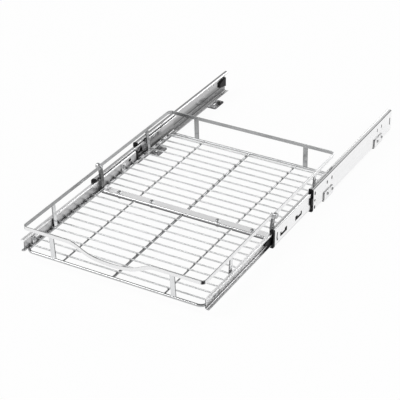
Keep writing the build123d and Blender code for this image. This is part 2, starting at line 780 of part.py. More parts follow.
with BuildPart() as joining_nuts:
    with BuildSketch(Plane.XY.offset(joint_nut_top_z)):
        with Locations(joint_screw_places):
            Circle(nut_flange_d / 2)
            Circle(screw_d / 2 + fit_gap, mode=Mode.SUBTRACT)
    extrude(amount=-nut_flange)
    with BuildSketch(Plane.XY.offset(joint_nut_top_z - nut_flange)):
        with Locations(joint_screw_places):
            RegularPolygon(nut_across_flats / 2, 6, major_radius=False)
            Circle(screw_d / 2 + fit_gap, mode=Mode.SUBTRACT)
    extrude(amount=-nut_height)
write(joining_nuts, "joining_nuts")


# ---------------------------------------------------------------- rims, posts and rim joints

def rim_leg(rim_x, foot_x):
    """The end of a rim strip, bent down at the seam and set inboard below the bend."""
    half = strip / 2
    with BuildSketch(cross_plane(seam_y + leg_width / 2)) as profile:
        with BuildLine():
            Polyline(
                (foot_x - half, post_foot_z),
                (foot_x + half, post_foot_z),
                (foot_x + half, leg_bend_z),
                (rim_x + half, rim_bottom),
                (rim_x + half, rim_top),
                (rim_x - half, rim_top),
                (rim_x - half, rim_bottom),
                (foot_x - half, leg_bend_z),
                close=True,
            )
        make_face()
    return profile.sketch


def rim(rim_x, foot_x, end_y, end_corner, with_dip):
    """One half's rim: side strips, the strip across at end_y, and a leg at either end."""
    toward = 1 if end_y > seam_y else -1
    start_y = seam_y - toward * leg_width / 2
    with BuildPart() as piece:
        with BuildSketch(Plane.XY.offset(rim_bottom)):
            with BuildLine():
                FilletPolyline(
                    (rim_x, start_y), (rim_x, end_y), (-rim_x, end_y), (-rim_x, start_y), radius=end_corner
                )
            trace(line_width=strip)
        extrude(amount=rim_height)
        if with_dip:
            straight = rim_x - end_corner
            with BuildSketch(cross_plane(end_y + strip / 2)):
                with Locations((0, rim_mid_z)):
                    Rectangle(2 * dip_half_width, rim_height * 2)
            extrude(amount=strip, mode=Mode.SUBTRACT)
            with BuildSketch(cross_plane(end_y + strip / 2)):
                with BuildLine():
                    FilletPolyline(
                        (-straight, rim_mid_z),
                        (-dip_half_width, rim_mid_z),
                        (-dip_foot, rim_mid_z - dip_shoulder_depth),
                        (0, rim_mid_z - dip_depth),
                        (dip_foot, rim_mid_z - dip_shoulder_depth),
                        (dip_half_width, rim_mid_z),
                        (straight, rim_mid_z),
                        radius=dip_radii,
                    )
                trace(line_width=rim_height)
            extrude(amount=strip)
        leg = rim_leg(rim_x, foot_x)
        extrude(leg, amount=leg_width)
        mirror(about=Plane.YZ)
        seam_end = piece.edges().filter_by(Axis.X).filter_by_position(
            Axis.Y, start_y - strip / 2, start_y + strip / 2
        )
        fillet(seam_end.group_by(Axis.Z)[-1], leg_corner_radius)
        with BuildSketch(side_plane(-rim_x - strip)):
            with Locations((seam_y, rim_mid_z)):
                Circle(rim_bolt_d / 2 + fit_gap)
        extrude(amount=2 * (rim_x + strip), mode=Mode.SUBTRACT)
    return piece


def posts(rim_x, side_y, across_rod_y, across_rim_y):
    """Four posts of one half: one on each side rod and two on the rod across."""
    head_z = rim_bottom - weld_gap
    with BuildPart() as piece:
        side_profile = post_side(cross_plane(side_y), side_rod_x, rim_x, post_foot_z, head_z)
        extrude(side_profile, amount=leg_width / 2, both=True)
        across_profile = post_side(side_plane(post_x), across_rod_y, across_rim_y, post_foot_z, head_z)
        extrude(across_profile, amount=leg_width / 2, both=True)
        mirror(about=Plane.YZ)
    return piece


rear_leg_x = drawer_inner_x - leg_wall_gap - strip / 2
front_leg_x = rear_leg_x - strip - weld_gap
write(rim(front_rim_x, front_leg_x, front_rim_y, rim_corner, True), "front_rim")
write(rim(rear_rim_x, rear_leg_x, rear_rim_y, rim_corner, False), "rear_rim")
write(posts(front_rim_x, front_post_y, front_rod_y, front_rim_y), "front_posts")
write(posts(rear_rim_x, rear_post_y, rear_rod_y, rear_rim_y), "rear_posts")

# Rim bolts: heads inside the basket, through both legs, into round cap nuts outside.
rim_inner_x = front_rim_x - strip / 2
rim_outer_x = rear_rim_x + strip / 2
with BuildPart() as rim_bolt:
    with BuildSketch(side_plane(rim_inner_x)):
        with Locations((seam_y, rim_mid_z)):
            Circle(rim_bolt_head_d / 2)
    extrude(amount=-rim_bolt_head)
    fillet(rim_bolt.edges().group_by(Axis.X)[0], screw_head_round)
    with BuildSketch(side_plane(rim_inner_x)):
        with Locations((seam_y, rim_mid_z)):
            Circle(rim_bolt_d / 2)
    extrude(amount=rim_outer_x - rim_inner_x + cap_nut_length - cap_nut_wall - cap_nut_gap)
write_pair(rim_bolt, "rim_bolt")

with BuildPart() as cap_nut:
    with BuildSketch(side_plane(rim_outer_x)):
        with Locations((seam_y, rim_mid_z)):
            Circle(cap_nut_d / 2)
    extrude(amount=cap_nut_length)
    fillet(cap_nut.edges().group_by(Axis.X)[-1], cap_nut_round)
    with BuildSketch(side_plane(rim_outer_x)):
        with Locations((seam_y, rim_mid_z)):
            Circle(rim_bolt_d / 2 + fit_gap)
    extrude(amount=cap_nut_length - cap_nut_wall, mode=Mode.SUBTRACT)
write_pair(cap_nut, "cap_nut")
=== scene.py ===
import math
from typing import NamedTuple

import bpy
from mathutils import Matrix, Vector


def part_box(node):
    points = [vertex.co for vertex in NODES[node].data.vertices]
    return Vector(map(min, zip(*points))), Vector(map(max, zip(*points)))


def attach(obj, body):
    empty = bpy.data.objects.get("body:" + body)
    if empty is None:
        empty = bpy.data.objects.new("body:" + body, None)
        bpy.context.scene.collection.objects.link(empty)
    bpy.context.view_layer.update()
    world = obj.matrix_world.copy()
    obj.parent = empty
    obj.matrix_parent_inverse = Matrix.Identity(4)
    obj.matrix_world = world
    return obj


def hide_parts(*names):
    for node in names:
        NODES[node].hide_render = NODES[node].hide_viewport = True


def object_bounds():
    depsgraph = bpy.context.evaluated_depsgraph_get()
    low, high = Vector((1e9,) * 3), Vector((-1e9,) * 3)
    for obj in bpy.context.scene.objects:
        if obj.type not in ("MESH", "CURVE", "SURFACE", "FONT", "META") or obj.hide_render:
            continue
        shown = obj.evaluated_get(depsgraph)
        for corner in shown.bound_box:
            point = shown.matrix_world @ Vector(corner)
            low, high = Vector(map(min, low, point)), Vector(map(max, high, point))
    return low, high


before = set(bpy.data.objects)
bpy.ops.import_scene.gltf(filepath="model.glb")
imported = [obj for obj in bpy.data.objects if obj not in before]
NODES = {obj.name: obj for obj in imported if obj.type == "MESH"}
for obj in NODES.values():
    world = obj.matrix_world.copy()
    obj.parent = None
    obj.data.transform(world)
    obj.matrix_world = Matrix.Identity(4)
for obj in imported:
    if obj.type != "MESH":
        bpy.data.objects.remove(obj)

CAD_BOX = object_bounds()

bl_info = {
    "name": "Pull Out Cabinet Basket",
    "version": (1, 0, 0),
    "blender": (4, 5, 0),
    "location": "View3D > Sidebar > Basket",
    "description": "Dresses a chrome wire cabinet basket on full-extension ball slides",
    "category": "Object",
}

SIDES = ("left", "right")

# Places on the solids, in metres.
SLIDE_HEIGHT = 0.0245               # z of the middle of the slides
BRACKET_LEG = 0.18675               # |x| of the middle of a bracket's leg
STRIP_LOW, STRIP_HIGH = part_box("joining_strip")
STRIP_SCREW = 0.0665                # |x| of the joining strip's inner screws
ROD_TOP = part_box("front_base_rod")[1][2]
SIDE_ROD = 0.1703                   # |x| of the middle of the side rods
SIDE_WIRE = 0.0976                  # |x| of the outer lengthwise wires
FRONT_ROD, REAR_ROD = -0.5445, -0.0620      # y of the rods across the two ends
FRONT_RIM, REAR_RIM = 0.1723, 0.1744        # |x| of the middle of the rim strips
RIM_FRONT = -0.548                  # y of the middle of the front rim's cross strip
RIM_LEG_SHADE_TOP = 0.056                 # z up to which the rims' legs at the seam get painted shade
END_POST = 0.115                    # |x| of the posts at the two ends
SIDE_POSTS = (-0.459, -0.148)       # y of the posts at the sides
WIRE_PITCH = 0.021                  # between the cross wires
FRONT_WIRES, REAR_WIRES = (-0.530, 10), (-0.288, 11)    # y of the first one, and their number
FRONT_ENDS, REAR_ENDS = (-0.5420, -0.3180), (-0.3025, -0.0646)  # y of the long wires' ends

EDGE = 0.0003                       # half the width of a sharp change of shade


# ---------------------------------------------------------------- sizes and colours


class BasketSizes(bpy.types.PropertyGroup):
    """Sizes of the small pieces that are modelled here, and of the camera's view."""

    bead_reach: bpy.props.FloatProperty(
        name="Weld bead reach",
        description="How far a weld bead reaches from the middle of a crossing",
        default=0.0021,
        unit="LENGTH",
    )
    bead_height: bpy.props.FloatProperty(
        name="Weld bead height",
        description="Half the height of a weld bead",
        default=0.0012,
        unit="LENGTH",
    )
    head_radius: bpy.props.FloatProperty(
        name="Screw head radius",
        description="Radius of the pan-head screws",
        default=0.0038,
        unit="LENGTH",
    )
    head_height: bpy.props.FloatProperty(
        name="Screw head height",
        description="Height of the pan-head screws",
        default=0.0024,
        unit="LENGTH",
    )
    shank_radius: bpy.props.FloatProperty(
        name="Screw shank radius",
        description="Radius over the thread of the screws",
        default=0.002,
        unit="LENGTH",
    )
    thread_pitch: bpy.props.FloatProperty(
        name="Thread pitch",
        description="Distance between the thread's turns",
        default=0.0007,
        unit="LENGTH",
    )
    recess_width: bpy.props.FloatProperty(
        name="Screw recess width",
        description="Width of one arm of the cross recess in the screw heads",
        default=0.0011,
        unit="LENGTH",
    )
    recess_depth: bpy.props.FloatProperty(
        name="Screw recess depth",
        description="Depth of the cross recess in the screw heads",
        default=0.0013,
        unit="LENGTH",
    )
    camera_place: bpy.props.FloatVectorProperty(
        name="Camera place",
        description="Where the camera stands",
        default=(1.0441, -2.1025, 1.2643),
        subtype="XYZ",
        unit="LENGTH",
    )
    camera_azimuth: bpy.props.FloatProperty(
        name="Camera azimuth",
        description="Turn of the camera about the vertical",
        default=math.radians(29.4658),
        subtype="ANGLE",
    )
    camera_elevation: bpy.props.FloatProperty(
        name="Camera elevation",
        description="How far the camera looks down",
        default=math.radians(30.5102),
        subtype="ANGLE",
    )
    camera_roll: bpy.props.FloatProperty(
        name="Camera roll",
        description="Turn of the camera about its own line of sight",
        default=math.radians(-0.2597),
        subtype="ANGLE",
    )
    camera_lens: bpy.props.FloatProperty(
        name="Lens",
        description="Focal length in millimetres on a 36 mm sensor",
        default=124.31,
    )


class BasketColours(bpy.types.PropertyGroup):
    """Colours of the finishes."""

    chrome: bpy.props.FloatVectorProperty(
        name="Chrome",
        description="Chrome plate on the wires, rods and rims",
        default=(0.62, 0.625, 0.63),
        subtype="COLOR",
        size=3,
    )
    zinc: bpy.props.FloatVectorProperty(
        name="Zinc",
        description="Bright zinc plate on the rails and brackets",
        default=(0.975, 0.975, 0.98),
        subtype="COLOR",
        size=3,
    )
    fastener: bpy.props.FloatVectorProperty(
        name="Fasteners",
        description="Plating of the screws, nuts and rivets",
        default=(0.50, 0.505, 0.51),
        subtype="COLOR",
        size=3,
    )
    plastic: bpy.props.FloatVectorProperty(
        name="Black plastic",
        description="Moulded bumpers, stops and levers",
        default=(0.006, 0.006, 0.0065),
        subtype="COLOR",
        size=3,
    )
    floor: bpy.props.FloatVectorProperty(
        name="Floor",
        description="Studio floor",
        default=(0.86, 0.86, 0.86),
        subtype="COLOR",
        size=3,
    )


def sizes():
    return bpy.context.scene.basket_sizes


def colours():
    return bpy.context.scene.basket_colours


# ---------------------------------------------------------------- shader maths


class Field:
    """A shader value that can be used in Python sums."""

    def __init__(self, graph, socket):
        self.graph = graph
        self.socket = socket

    def _math(self, operation, *values):
        return self.graph.node(
            "ShaderNodeMath", {"operation": operation}, dict(enumerate(values))
        )

    def __add__(self, other):
        return self._math("ADD", self, other)

    __radd__ = __add__

    def __sub__(self, other):
        return self._math("SUBTRACT", self, other)

    def __rsub__(self, other):
        return self._math("SUBTRACT", other, self)

    def __mul__(self, other):
        return self._math("MULTIPLY", self, other)

    __rmul__ = __mul__

    def __abs__(self):
        return self._math("ABSOLUTE", self)

    def most(self, other):
        return self._math("MAXIMUM", self, other)

    def fade(self, low, high):
        """0 below low, 1 above high, smooth between them."""
        return self.graph.node(
            "ShaderNodeMapRange",
            {"interpolation_type": "SMOOTHSTEP"},
            {"Value": self, "From Min": low, "From Max": high, "To Min": 0.0, "To Max": 1.0},
        )

    def near(self, middle, inner, outer):
        """1 closer than inner to the middle, 0 beyond outer, smooth between them."""
        return 1.0 - abs(self - middle).fade(inner, outer)


class Graph:
    """The nodes of one material or of the world."""

    def __init__(self, owner):
        owner.use_nodes = True
        self.tree = owner.node_tree
        self.tree.nodes.clear()

    def node(self, kind, settings=None, inputs=None, output=0):
        made = self.tree.nodes.new(kind)
        for key, value in (settings or {}).items():
            if key == "stops":
                ramp = made.color_ramp.elements
                for index, (place, colour) in enumerate(value):
                    stop = ramp[index] if index < len(ramp) else ramp.new(place)
                    stop.position = place
                    stop.color = (*colour, 1.0)
            else:
                setattr(made, key, value)
        for key, value in (inputs or {}).items():
            if isinstance(value, Field):
                self.tree.links.new(value.socket, made.inputs[key])
            elif isinstance(value, (tuple, list)) and made.inputs[key].type == "RGBA":
                made.inputs[key].default_value = (*value[:3], 1.0)
            else:
                made.inputs[key].default_value = value
        return Field(self, made.outputs[output]) if made.outputs else None

    def place(self):
        """Object coordinates in metres, as one vector."""
        return self.node("ShaderNodeTexCoord", output="Object")

    def axes(self, vector):
        """The x, y and z of a vector."""
        parts = self.node("ShaderNodeSeparateXYZ", inputs={"Vector": vector}).socket.node
        return [Field(self, socket) for socket in parts.outputs]

    def stretched(self, vector, scale):
        return self.node(
            "ShaderNodeVectorMath",
            {"operation": "MULTIPLY"},
            {0: vector, 1: tuple(scale)},
        )

    def noise(self, vector, scale, detail=2.0, roughness=0.5):
        return self.node(
            "ShaderNodeTexNoise",
            {"noise_dimensions": "3D"},
            {"Vector": vector, "Scale": scale, "Detail": detail, "Roughness": roughness},
        )

    def blend(self, share, first, second):
        """Mix of two colours."""
        return self.node(
            "ShaderNodeMix",
            {"data_type": "RGBA"},
            {0: share, 6: first, 7: second},
            output=2,
        )

    def times(self, first, second):
        """Two colours multiplied."""
        return self.node(
            "ShaderNodeMix",
            {"data_type": "RGBA", "blend_type": "MULTIPLY"},
            {0: 1.0, 6: first, 7: second},
            output=2,
        )

    def bump(self, height, strength, distance):
        return self.node(
            "ShaderNodeBump",
            inputs={"Height": height, "Strength": strength, "Distance": distance},
        )

    def surface(self, **inputs):
        named = {key.replace("_", " ").title(): value for key, value in inputs.items()}
        named = {key.replace("Ior", "IOR"): value for key, value in named.items()}
        shader = self.node("ShaderNodeBsdfPrincipled", inputs=named)
        self.node("ShaderNodeOutputMaterial", inputs={"Surface": shader})


def shade_of(colour, factor):
    return tuple(min(1.0, channel * factor) for channel in colour)


def grey(level):
    return (level,) * 3


def drawn_out(run, across, along):
    """Noise scales per metre of a pattern that is drawn out along one axis."""
    scales = [across] * 3
    scales["XYZ".index(run)] = along
    return scales


def new_material(name):
    material = bpy.data.materials.new(name)
    return material, Graph(material)


# ---------------------------------------------------------------- finishes


def drawn_chrome(name, run, tone_and_shade, gloss, relief=0.02, weld_rows=(), outer=None, crown=None):
    """Chrome plate over drawn wire or strip.

    run is the axis that the draw lines follow; the next argument makes the whole piece lighter or
    darker, as painted light and shade set part by part on the one chrome. gloss is its roughness
    and relief the depth of its lines. weld_rows are the |x| at which welds under the plate make it
    duller.
    outer is (|x|, front y) of a rim strip's middle: its faces beyond them get a painted bright
    reflection, and its legs at the seam get painted shade. crown is (z, y) of the front rod's top
    and
    middle: a painted dark reflection line follows it.
    """
    material, graph = new_material(name)
    place = graph.place()
    lines = graph.noise(graph.stretched(place, drawn_out(run, 900.0, 22.0)), 1.0, 3.0)
    blotch = graph.noise(place, 38.0, 3.0, 0.6).fade(0.42, 0.72)
    shade = blotch * 0.25 + lines.fade(0.35, 0.75) * 0.20
    rough = gloss + blotch * 0.04 + lines * 0.05
    across, along, height = graph.axes(place)
    across = abs(across)
    for row in weld_rows:
        weld = across.near(row, inner=0.0012, outer=0.0042)
        shade = shade + weld * 0.4
        rough = rough + weld * 0.12
    bright = shade_of(colours().chrome, tone_and_shade)
    colour = graph.blend(shade, bright, shade_of(bright, 0.80))
    # Painted dark reflection line along the top of the front rod.
    if crown:
        top, middle = crown
        line = height.fade(top - 0.0007, top - 0.0003)
        line = line * (1.0 - along.fade(middle + 0.003, middle + 0.007))
        colour = graph.blend(line * 0.6, colour, grey(0.12))
    # Painted bright reflection on the rim's outer faces; its inner faces keep the darker shade.
    if outer:
        strip, front = outer
        painted_bright_outside = across.fade(strip - EDGE, strip + EDGE)
        if front:
            painted_bright_outside = painted_bright_outside.most(1.0 - along.fade(front - EDGE, front + EDGE))
        colour = graph.blend(painted_bright_outside * 0.9, colour, (0.93, 0.93, 0.935))
        # Painted shade on the rim's legs at the seam.
        leg = 1.0 - height.fade(RIM_LEG_SHADE_TOP, RIM_LEG_SHADE_TOP + 0.003)
        leg = leg * across.fade(0.150, 0.160)
        colour = graph.blend(leg, colour, shade_of(bright, 0.42))
    graph.surface(
        base_color=colour,
        metallic=1.0,
        roughness=rough,
        normal=graph.bump(lines, relief, 0.0002),
    )
    return material


def post_chrome(name, tone_and_shade):
    """Chrome on the posts: pale faces with painted shade on their thin side faces, and painted
    shade on the side posts' feet.
    """
    material, graph = new_material(name)
    place = graph.place()
    lines = graph.noise(graph.stretched(place, drawn_out("Z", 900.0, 22.0)), 1.0, 3.0)
    blotch = graph.noise(place, 38.0, 3.0, 0.6).fade(0.42, 0.72)
    across, along, height = graph.axes(place)
    across = abs(across)
    face_end = (0.00418, 0.00430)       # from the middle of a post to its thin side faces
    end_post = across.near(END_POST, inner=0.0052, outer=0.0056)
    # Painted shade on the thin side faces of the end posts and of the side posts.
    end_post_side_shade = abs(across - END_POST).fade(*face_end) * end_post
    half_way = sum(SIDE_POSTS) / 2
    side_post_side_shade = abs(abs(along - half_way) - (SIDE_POSTS[1] - half_way)).fade(*face_end)
    side_post_side_shade = side_post_side_shade * (1.0 - end_post)
    chrome = colours().chrome
    shade = blotch * 0.5 + lines.fade(0.35, 0.75) * 0.5
    pale = graph.blend(shade, shade_of(chrome, tone_and_shade), shade_of(chrome, tone_and_shade * 0.88))
    # Painted shade low on the side posts' outboard faces, beside the rails.
    shaded_foot = (1.0 - height.fade(0.022, 0.054)) * across.fade(0.1712, 0.1716)
    pale = graph.blend(shaded_foot * 0.9, pale, grey(0.05))
    graph.surface(
        base_color=graph.blend((end_post_side_shade + side_post_side_shade) * 0.8, pale, grey(0.10)),
        metallic=1.0,
        roughness=0.20 + blotch * 0.04 + lines * 0.05,
        normal=graph.bump(lines, 0.02, 0.0002),
    )
    return material


class RailFinish(NamedTuple):
    """Where the painted shades of one slide member lie, in metres, and how light they are."""

    web: float              # |x| of the middle of its web
    half: float             # half its height
    lip: float              # |x| of its lips
    below: float            # painted shade of the web's inboard side below its middle
    above: float            # and above it
    near_bend: float        # painted shade of the flanges near the bend
    near_lip: float         # and near the lip
    crease: float           # level of the painted shadow along the crease in its channel
    lines: tuple = ()       # (level, half width) of each fine line on its outboard side


CABINET_RAIL = RailFinish(
    web=0.18515, half=0.0225, lip=0.1762,
    below=0.28, above=0.55, near_bend=0.11, near_lip=0.63, crease=-0.0080,
)
MIDDLE_RAIL = RailFinish(
    web=0.18255, half=0.01723, lip=0.1744,
    below=0.29, above=0.54, near_bend=0.38, near_lip=0.60, crease=-0.0120,
    lines=((-0.0128, 0.0003), (-0.0168, 0.0004)),
)
DRAWER_RAIL = RailFinish(
    web=0.17365, half=0.01196, lip=0.1806,
    below=0.5, above=0.6, near_bend=1.0, near_lip=0.88, crease=-0.0084,
)


def shade_rail(graph, place, rail, bright, colour, rough):
    """Colour and roughness of a slide member, from those of its plain zinc plate.

    The web has painted shade inboard, darker below its middle; the channel has a painted shadow
    along its crease, and one that opens outboard has painted shade, lighter towards the top; the
    flanges have painted shade, with a painted highlight at the bend where the member opens inboard;
    the ball tracks are polished and the walls of the web's holes have painted shadow.
    """
    across, _, height = graph.axes(place)
    across = abs(across)
    level = height - SLIDE_HEIGHT
    rise = abs(level)
    opens_inboard = rail.web > rail.lip
    track = rise.near(rail.half - 0.0012, inner=0.0006, outer=0.0014)
    rough = rough - track * 0.07

    # Painted shade on the web's inboard side, darker below its middle.
    inboard = 1.0 - across.fade(rail.web - EDGE, rail.web + EDGE)
    lit = level.fade(-0.2 * rail.half, 0.25 * rail.half)
    painted_inboard_shade = graph.blend(lit, grey(rail.below), grey(rail.above))
    colour = graph.blend(inboard, colour, graph.times(colour, painted_inboard_shade))

    channel = inboard if opens_inboard else 1.0 - inboard
    # Painted shade in a channel that opens outboard, lighter towards the top.
    if not opens_inboard:
        bottom = 1.0 - level.fade(rail.crease - 0.0016, rail.crease - 0.0008)
        painted_channel_shade = graph.blend(level.fade(rail.crease, 0.8 * rail.half), grey(0.56), grey(0.84))
        painted_channel_shade = graph.blend(bottom, painted_channel_shade, grey(0.66))
        colour = graph.blend(channel, colour, graph.times(colour, painted_channel_shade))
        rough = rough + 0.14
    # Painted shadow along the crease of the channel.
    crease = level.near(rail.crease, inner=0.0010, outer=0.0020)
    colour = graph.blend(channel * crease * 0.85, colour, grey(0.06))
    for line, width in rail.lines:
        drawn = level.near(line, inner=width, outer=width + 0.0003)
        colour = graph.blend(drawn * (1.0 - inboard) * 0.45, colour, grey(0.2))

    # Painted shade across the flanges from near_lip to near_bend, and a painted highlight at the
    # bend of members that open inboard.
    flange = rise.fade(rail.half - 0.0030, rail.half - 0.0020)
    inner, outer = sorted((rail.web, rail.lip))
    outward = across.fade(inner + 0.001, outer - 0.0018)
    toward_bend = outward if opens_inboard else 1.0 - outward
    painted_flange_band = graph.blend(toward_bend, grey(rail.near_lip), grey(rail.near_bend))
    if opens_inboard:
        painted_flange_band = graph.blend(across.fade(outer - EDGE, outer), painted_flange_band, grey(1.0))
    colour = graph.blend(flange, colour, graph.times(bright, painted_flange_band))

    # Painted shadow on the walls of the web's holes, away from the flanges.
    hole_wall_shadow = across.near(rail.web, inner=0.00048, outer=0.00059)
    flat = 1.0 - rise.fade(rail.half - 0.0042, rail.half - 0.0036)
    return graph.blend(hole_wall_shadow * flat * 0.94, colour, grey(0.02)), rough


def rolled_zinc(name, tone_and_shade=1.0, rail=None):
    """Bright zinc plate over sheet rolled along Y: fine lines, wider bands and a faint bloom."""
    material, graph = new_material(name)
    place = graph.place()
    lines = graph.noise(graph.stretched(place, drawn_out("Y", 1500.0, 14.0)), 1.0, 4.0, 0.65)
    bands = graph.noise(graph.stretched(place, drawn_out("Y", 240.0, 5.0)), 1.0, 2.0)
    bloom = graph.noise(place, 46.0, 4.0, 0.62)
    cloud = bloom.fade(0.40, 0.72)
    shade = cloud * 0.06 + lines.fade(0.38, 0.70) * 0.08 + bands.fade(0.4, 0.7) * 0.14
    rough = 0.20 + cloud * 0.03 + lines * 0.03
    bright = shade_of(colours().zinc, tone_and_shade)
    colour = graph.blend(shade, bright, shade_of(bright, 0.80))
    if rail:
        colour, rough = shade_rail(graph, place, rail, bright, colour, rough)
    graph.surface(
        base_color=colour,
        metallic=1.0,
        roughness=rough,
        normal=graph.bump(lines * 0.7 + bloom * 0.3, 0.02, 0.0002),
    )
    return material


def strip_zinc(name):
    """Zinc on the joining strip: a pale top, and painted shade on the flanges, darkest along their
    lower edges.
    """
    material, graph = new_material(name)
    place = graph.place()
    lines = graph.noise(graph.stretched(place, drawn_out("X", 1500.0, 14.0)), 1.0, 4.0, 0.65)
    bloom = graph.noise(place, 60.0, 3.0, 0.6)
    height = graph.axes(place)[2]
    top = height.fade(STRIP_HIGH[2] - 0.0004, STRIP_HIGH[2] - 0.0001)
    shade = lines.fade(0.38, 0.70) * 0.5 + bloom.fade(0.4, 0.7) * 0.5
    pale = graph.blend(shade, colours().zinc[:], shade_of(colours().zinc, 0.93))
    # Painted shade on the flanges, darker on their lower half.
    half_way = (STRIP_LOW[2] + STRIP_HIGH[2]) / 2
    flange = height.fade(half_way - 0.0006, half_way + 0.0006)
    dark = graph.blend(flange, (0.14, 0.14, 0.145), (0.50, 0.50, 0.505))
    graph.surface(
        base_color=graph.blend(top, dark, pale),
        metallic=1.0,
        roughness=0.14 + lines * 0.08,
        normal=graph.bump(lines * 0.7 + bloom * 0.3, 0.015, 0.0002),
    )
    return material


def bracket_zinc(name):
    """Zinc on the floor brackets: pale legs with painted shadow along their edges, and painted
    shade on their feet.
    """
    material, graph = new_material(name)
    place = graph.place()
    lines = graph.noise(graph.stretched(place, drawn_out("Y", 900.0, 40.0)), 1.0, 4.0, 0.6)
    bloom = graph.noise(place, 70.0, 3.0, 0.6)
    across, _, height = graph.axes(place)
    shade = lines.fade(0.38, 0.70) * 0.5 + bloom.fade(0.4, 0.7) * 0.5
    pale = graph.blend(shade, colours().zinc[:], shade_of(colours().zinc, 0.82))
    # Painted shadow along the edges of the leg, where it lies on the rail.
    leg = abs(across).near(BRACKET_LEG, inner=0.00082, outer=0.00097)
    painted_gap_shadow = leg * height.fade(0.003, 0.004)
    # Painted shade on the feet under the rail: grey on top, darkest on their edges.
    shaded_foot = 1.0 - height.fade(0.0022, 0.0030)
    foot_top = height.fade(0.00180, 0.00195)
    foot_shade = graph.blend(foot_top, grey(0.10), (0.40, 0.40, 0.405))
    pale = graph.blend(shaded_foot, pale, graph.times(pale, foot_shade))
    graph.surface(
        base_color=graph.blend(painted_gap_shadow * 0.9, pale, grey(0.06)),
        metallic=1.0,
        roughness=0.20 + lines * 0.06,
        normal=graph.bump(lines * 0.6 + bloom * 0.4, 0.03, 0.0002),
    )
    return material


def plated_fastener(name):
    """Mottled bright plating on turned and pressed fasteners."""
    material, graph = new_material(name)
    place = graph.place()
    mottle = graph.noise(place, 420.0, 4.0, 0.6)
    grain = graph.noise(place, 2600.0, 2.0)
    patch = mottle.fade(0.38, 0.68)
    plate = colours().fastener[:]
    colour = graph.blend(patch * 0.7, plate, shade_of(plate, 0.72))
    graph.surface(
        base_color=colour,
        metallic=1.0,
        roughness=0.16 + patch * 0.12 + grain * 0.05,
        normal=graph.bump(mottle * 0.6 + grain * 0.4, 0.15, 0.0002),
    )
    return material


def weld_metal(name):
    """Chrome over a weld bead: rippled and a little duller than the wire."""
    material, graph = new_material(name)
    place = graph.place()
    ripple = graph.noise(place, 1500.0, 3.0, 0.6)
    chrome = colours().chrome
    colour = graph.blend(ripple.fade(0.35, 0.70), shade_of(chrome, 0.52), shade_of(chrome, 0.30))
    graph.surface(
        base_color=colour,
        metallic=1.0,
        roughness=0.26 + ripple * 0.16,
        normal=graph.bump(ripple, 0.35, 0.0003),
    )
    return material


def bearing_steel(name):
    """Ground steel balls with the faintest polishing scratches."""
    material, graph = new_material(name)
    place = graph.place()
    scratch = graph.noise(graph.stretched(place, drawn_out("Y", 3000.0, 400.0)), 1.0, 3.0, 0.7)
    colour = graph.blend(scratch.fade(0.4, 0.7), (0.74, 0.745, 0.75), (0.62, 0.625, 0.63))
    graph.surface(
        base_color=colour,
        metallic=1.0,
        roughness=0.05 + scratch * 0.07,
        normal=graph.bump(scratch, 0.05, 0.0001),
    )
    return material


def moulded_plastic(name, grain, gloss):
    """Black plastic from a spark-eroded mould: an even fine grain and greyer rubbed patches."""
    material, graph = new_material(name)
    place = graph.place()
    fine = graph.noise(place, grain, 3.0, 0.6)
    flow = graph.noise(place, 90.0, 3.0)
    rubbed = flow.fade(0.50, 0.75)
    black = colours().plastic[:]
    colour = graph.blend(rubbed * 0.6 + fine.fade(0.45, 0.7) * 0.4, black, shade_of(black, 2.4))
    graph.surface(
        base_color=colour,
        metallic=0.0,
        specular_ior_level=0.12,
        roughness=gloss + fine * 0.16 - rubbed * 0.06,
        normal=graph.bump(fine * 0.8 + flow * 0.2, 0.30, 0.0002),
    )
    return material


def paint(material, *names):
    for name in names:
        slots = NODES[name].data.materials
        slots.clear()
        slots.append(material)


def both(name):
    return [f"{side}_{name}" for side in SIDES]


# ---------------------------------------------------------------- modelling helpers


def edit(piece):
    """Makes one piece the only one selected, and opens it in edit mode."""
    bpy.ops.object.select_all(action="DESELECT")
    bpy.context.view_layer.objects.active = piece
    piece.select_set(True)
    bpy.ops.object.mode_set(mode="EDIT")
    bpy.ops.mesh.select_all(action="DESELECT")


def pick(piece, test, kind="FACE"):
    """Selects the faces or vertices whose place and normal pass the test."""
    bpy.ops.mesh.select_mode(type=kind)
    bpy.ops.mesh.select_all(action="DESELECT")
    bpy.ops.object.mode_set(mode="OBJECT")
    if kind == "FACE":
        for face in piece.data.polygons:
            face.select = test(face.center, face.normal)
    else:
        for vertex in piece.data.vertices:
            vertex.select = test(vertex.co, vertex.normal)
    bpy.ops.object.mode_set(mode="EDIT")


def close_edit():
    bpy.ops.mesh.select_all(action="SELECT")
    bpy.ops.mesh.normals_make_consistent(inside=False)
    bpy.ops.object.mode_set(mode="OBJECT")


def settle(piece):
    """Puts a piece's place into its mesh, so that its object sits at the origin."""
    bpy.ops.object.select_all(action="DESELECT")
    bpy.context.view_layer.objects.active = piece
    piece.select_set(True)
    bpy.ops.object.transform_apply(location=True, rotation=True, scale=True)


def copies(piece, places):
    """Copies of a piece modelled at the origin, each turned and put in its place."""
    made = []
    for matrix in places:
        twin = piece.copy()
        twin.data = piece.data.copy()
        bpy.context.scene.collection.objects.link(twin)
        twin.matrix_world = matrix
        made.append(twin)
    bpy.data.objects.remove(piece)
    return made


def joined(pieces, name):
    bpy.ops.object.select_all(action="DESELECT")
    for piece in pieces:
        piece.select_set(True)
    bpy.context.view_layer.objects.active = pieces[0]
    bpy.ops.object.join()
    whole = bpy.context.view_layer.objects.active
    whole.name = name
    whole.data.name = name
    settle(whole)
    return whole


def smooth(piece, angle=35.0):
    bpy.ops.object.select_all(action="DESELECT")
    bpy.context.view_layer.objects.active = piece
    piece.select_set(True)
    bpy.ops.object.shade_smooth_by_angle(angle=math.radians(angle))


def dress(piece, material, body):
    piece.data.materials.clear()
    piece.data.materials.append(material)
    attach(piece, body)


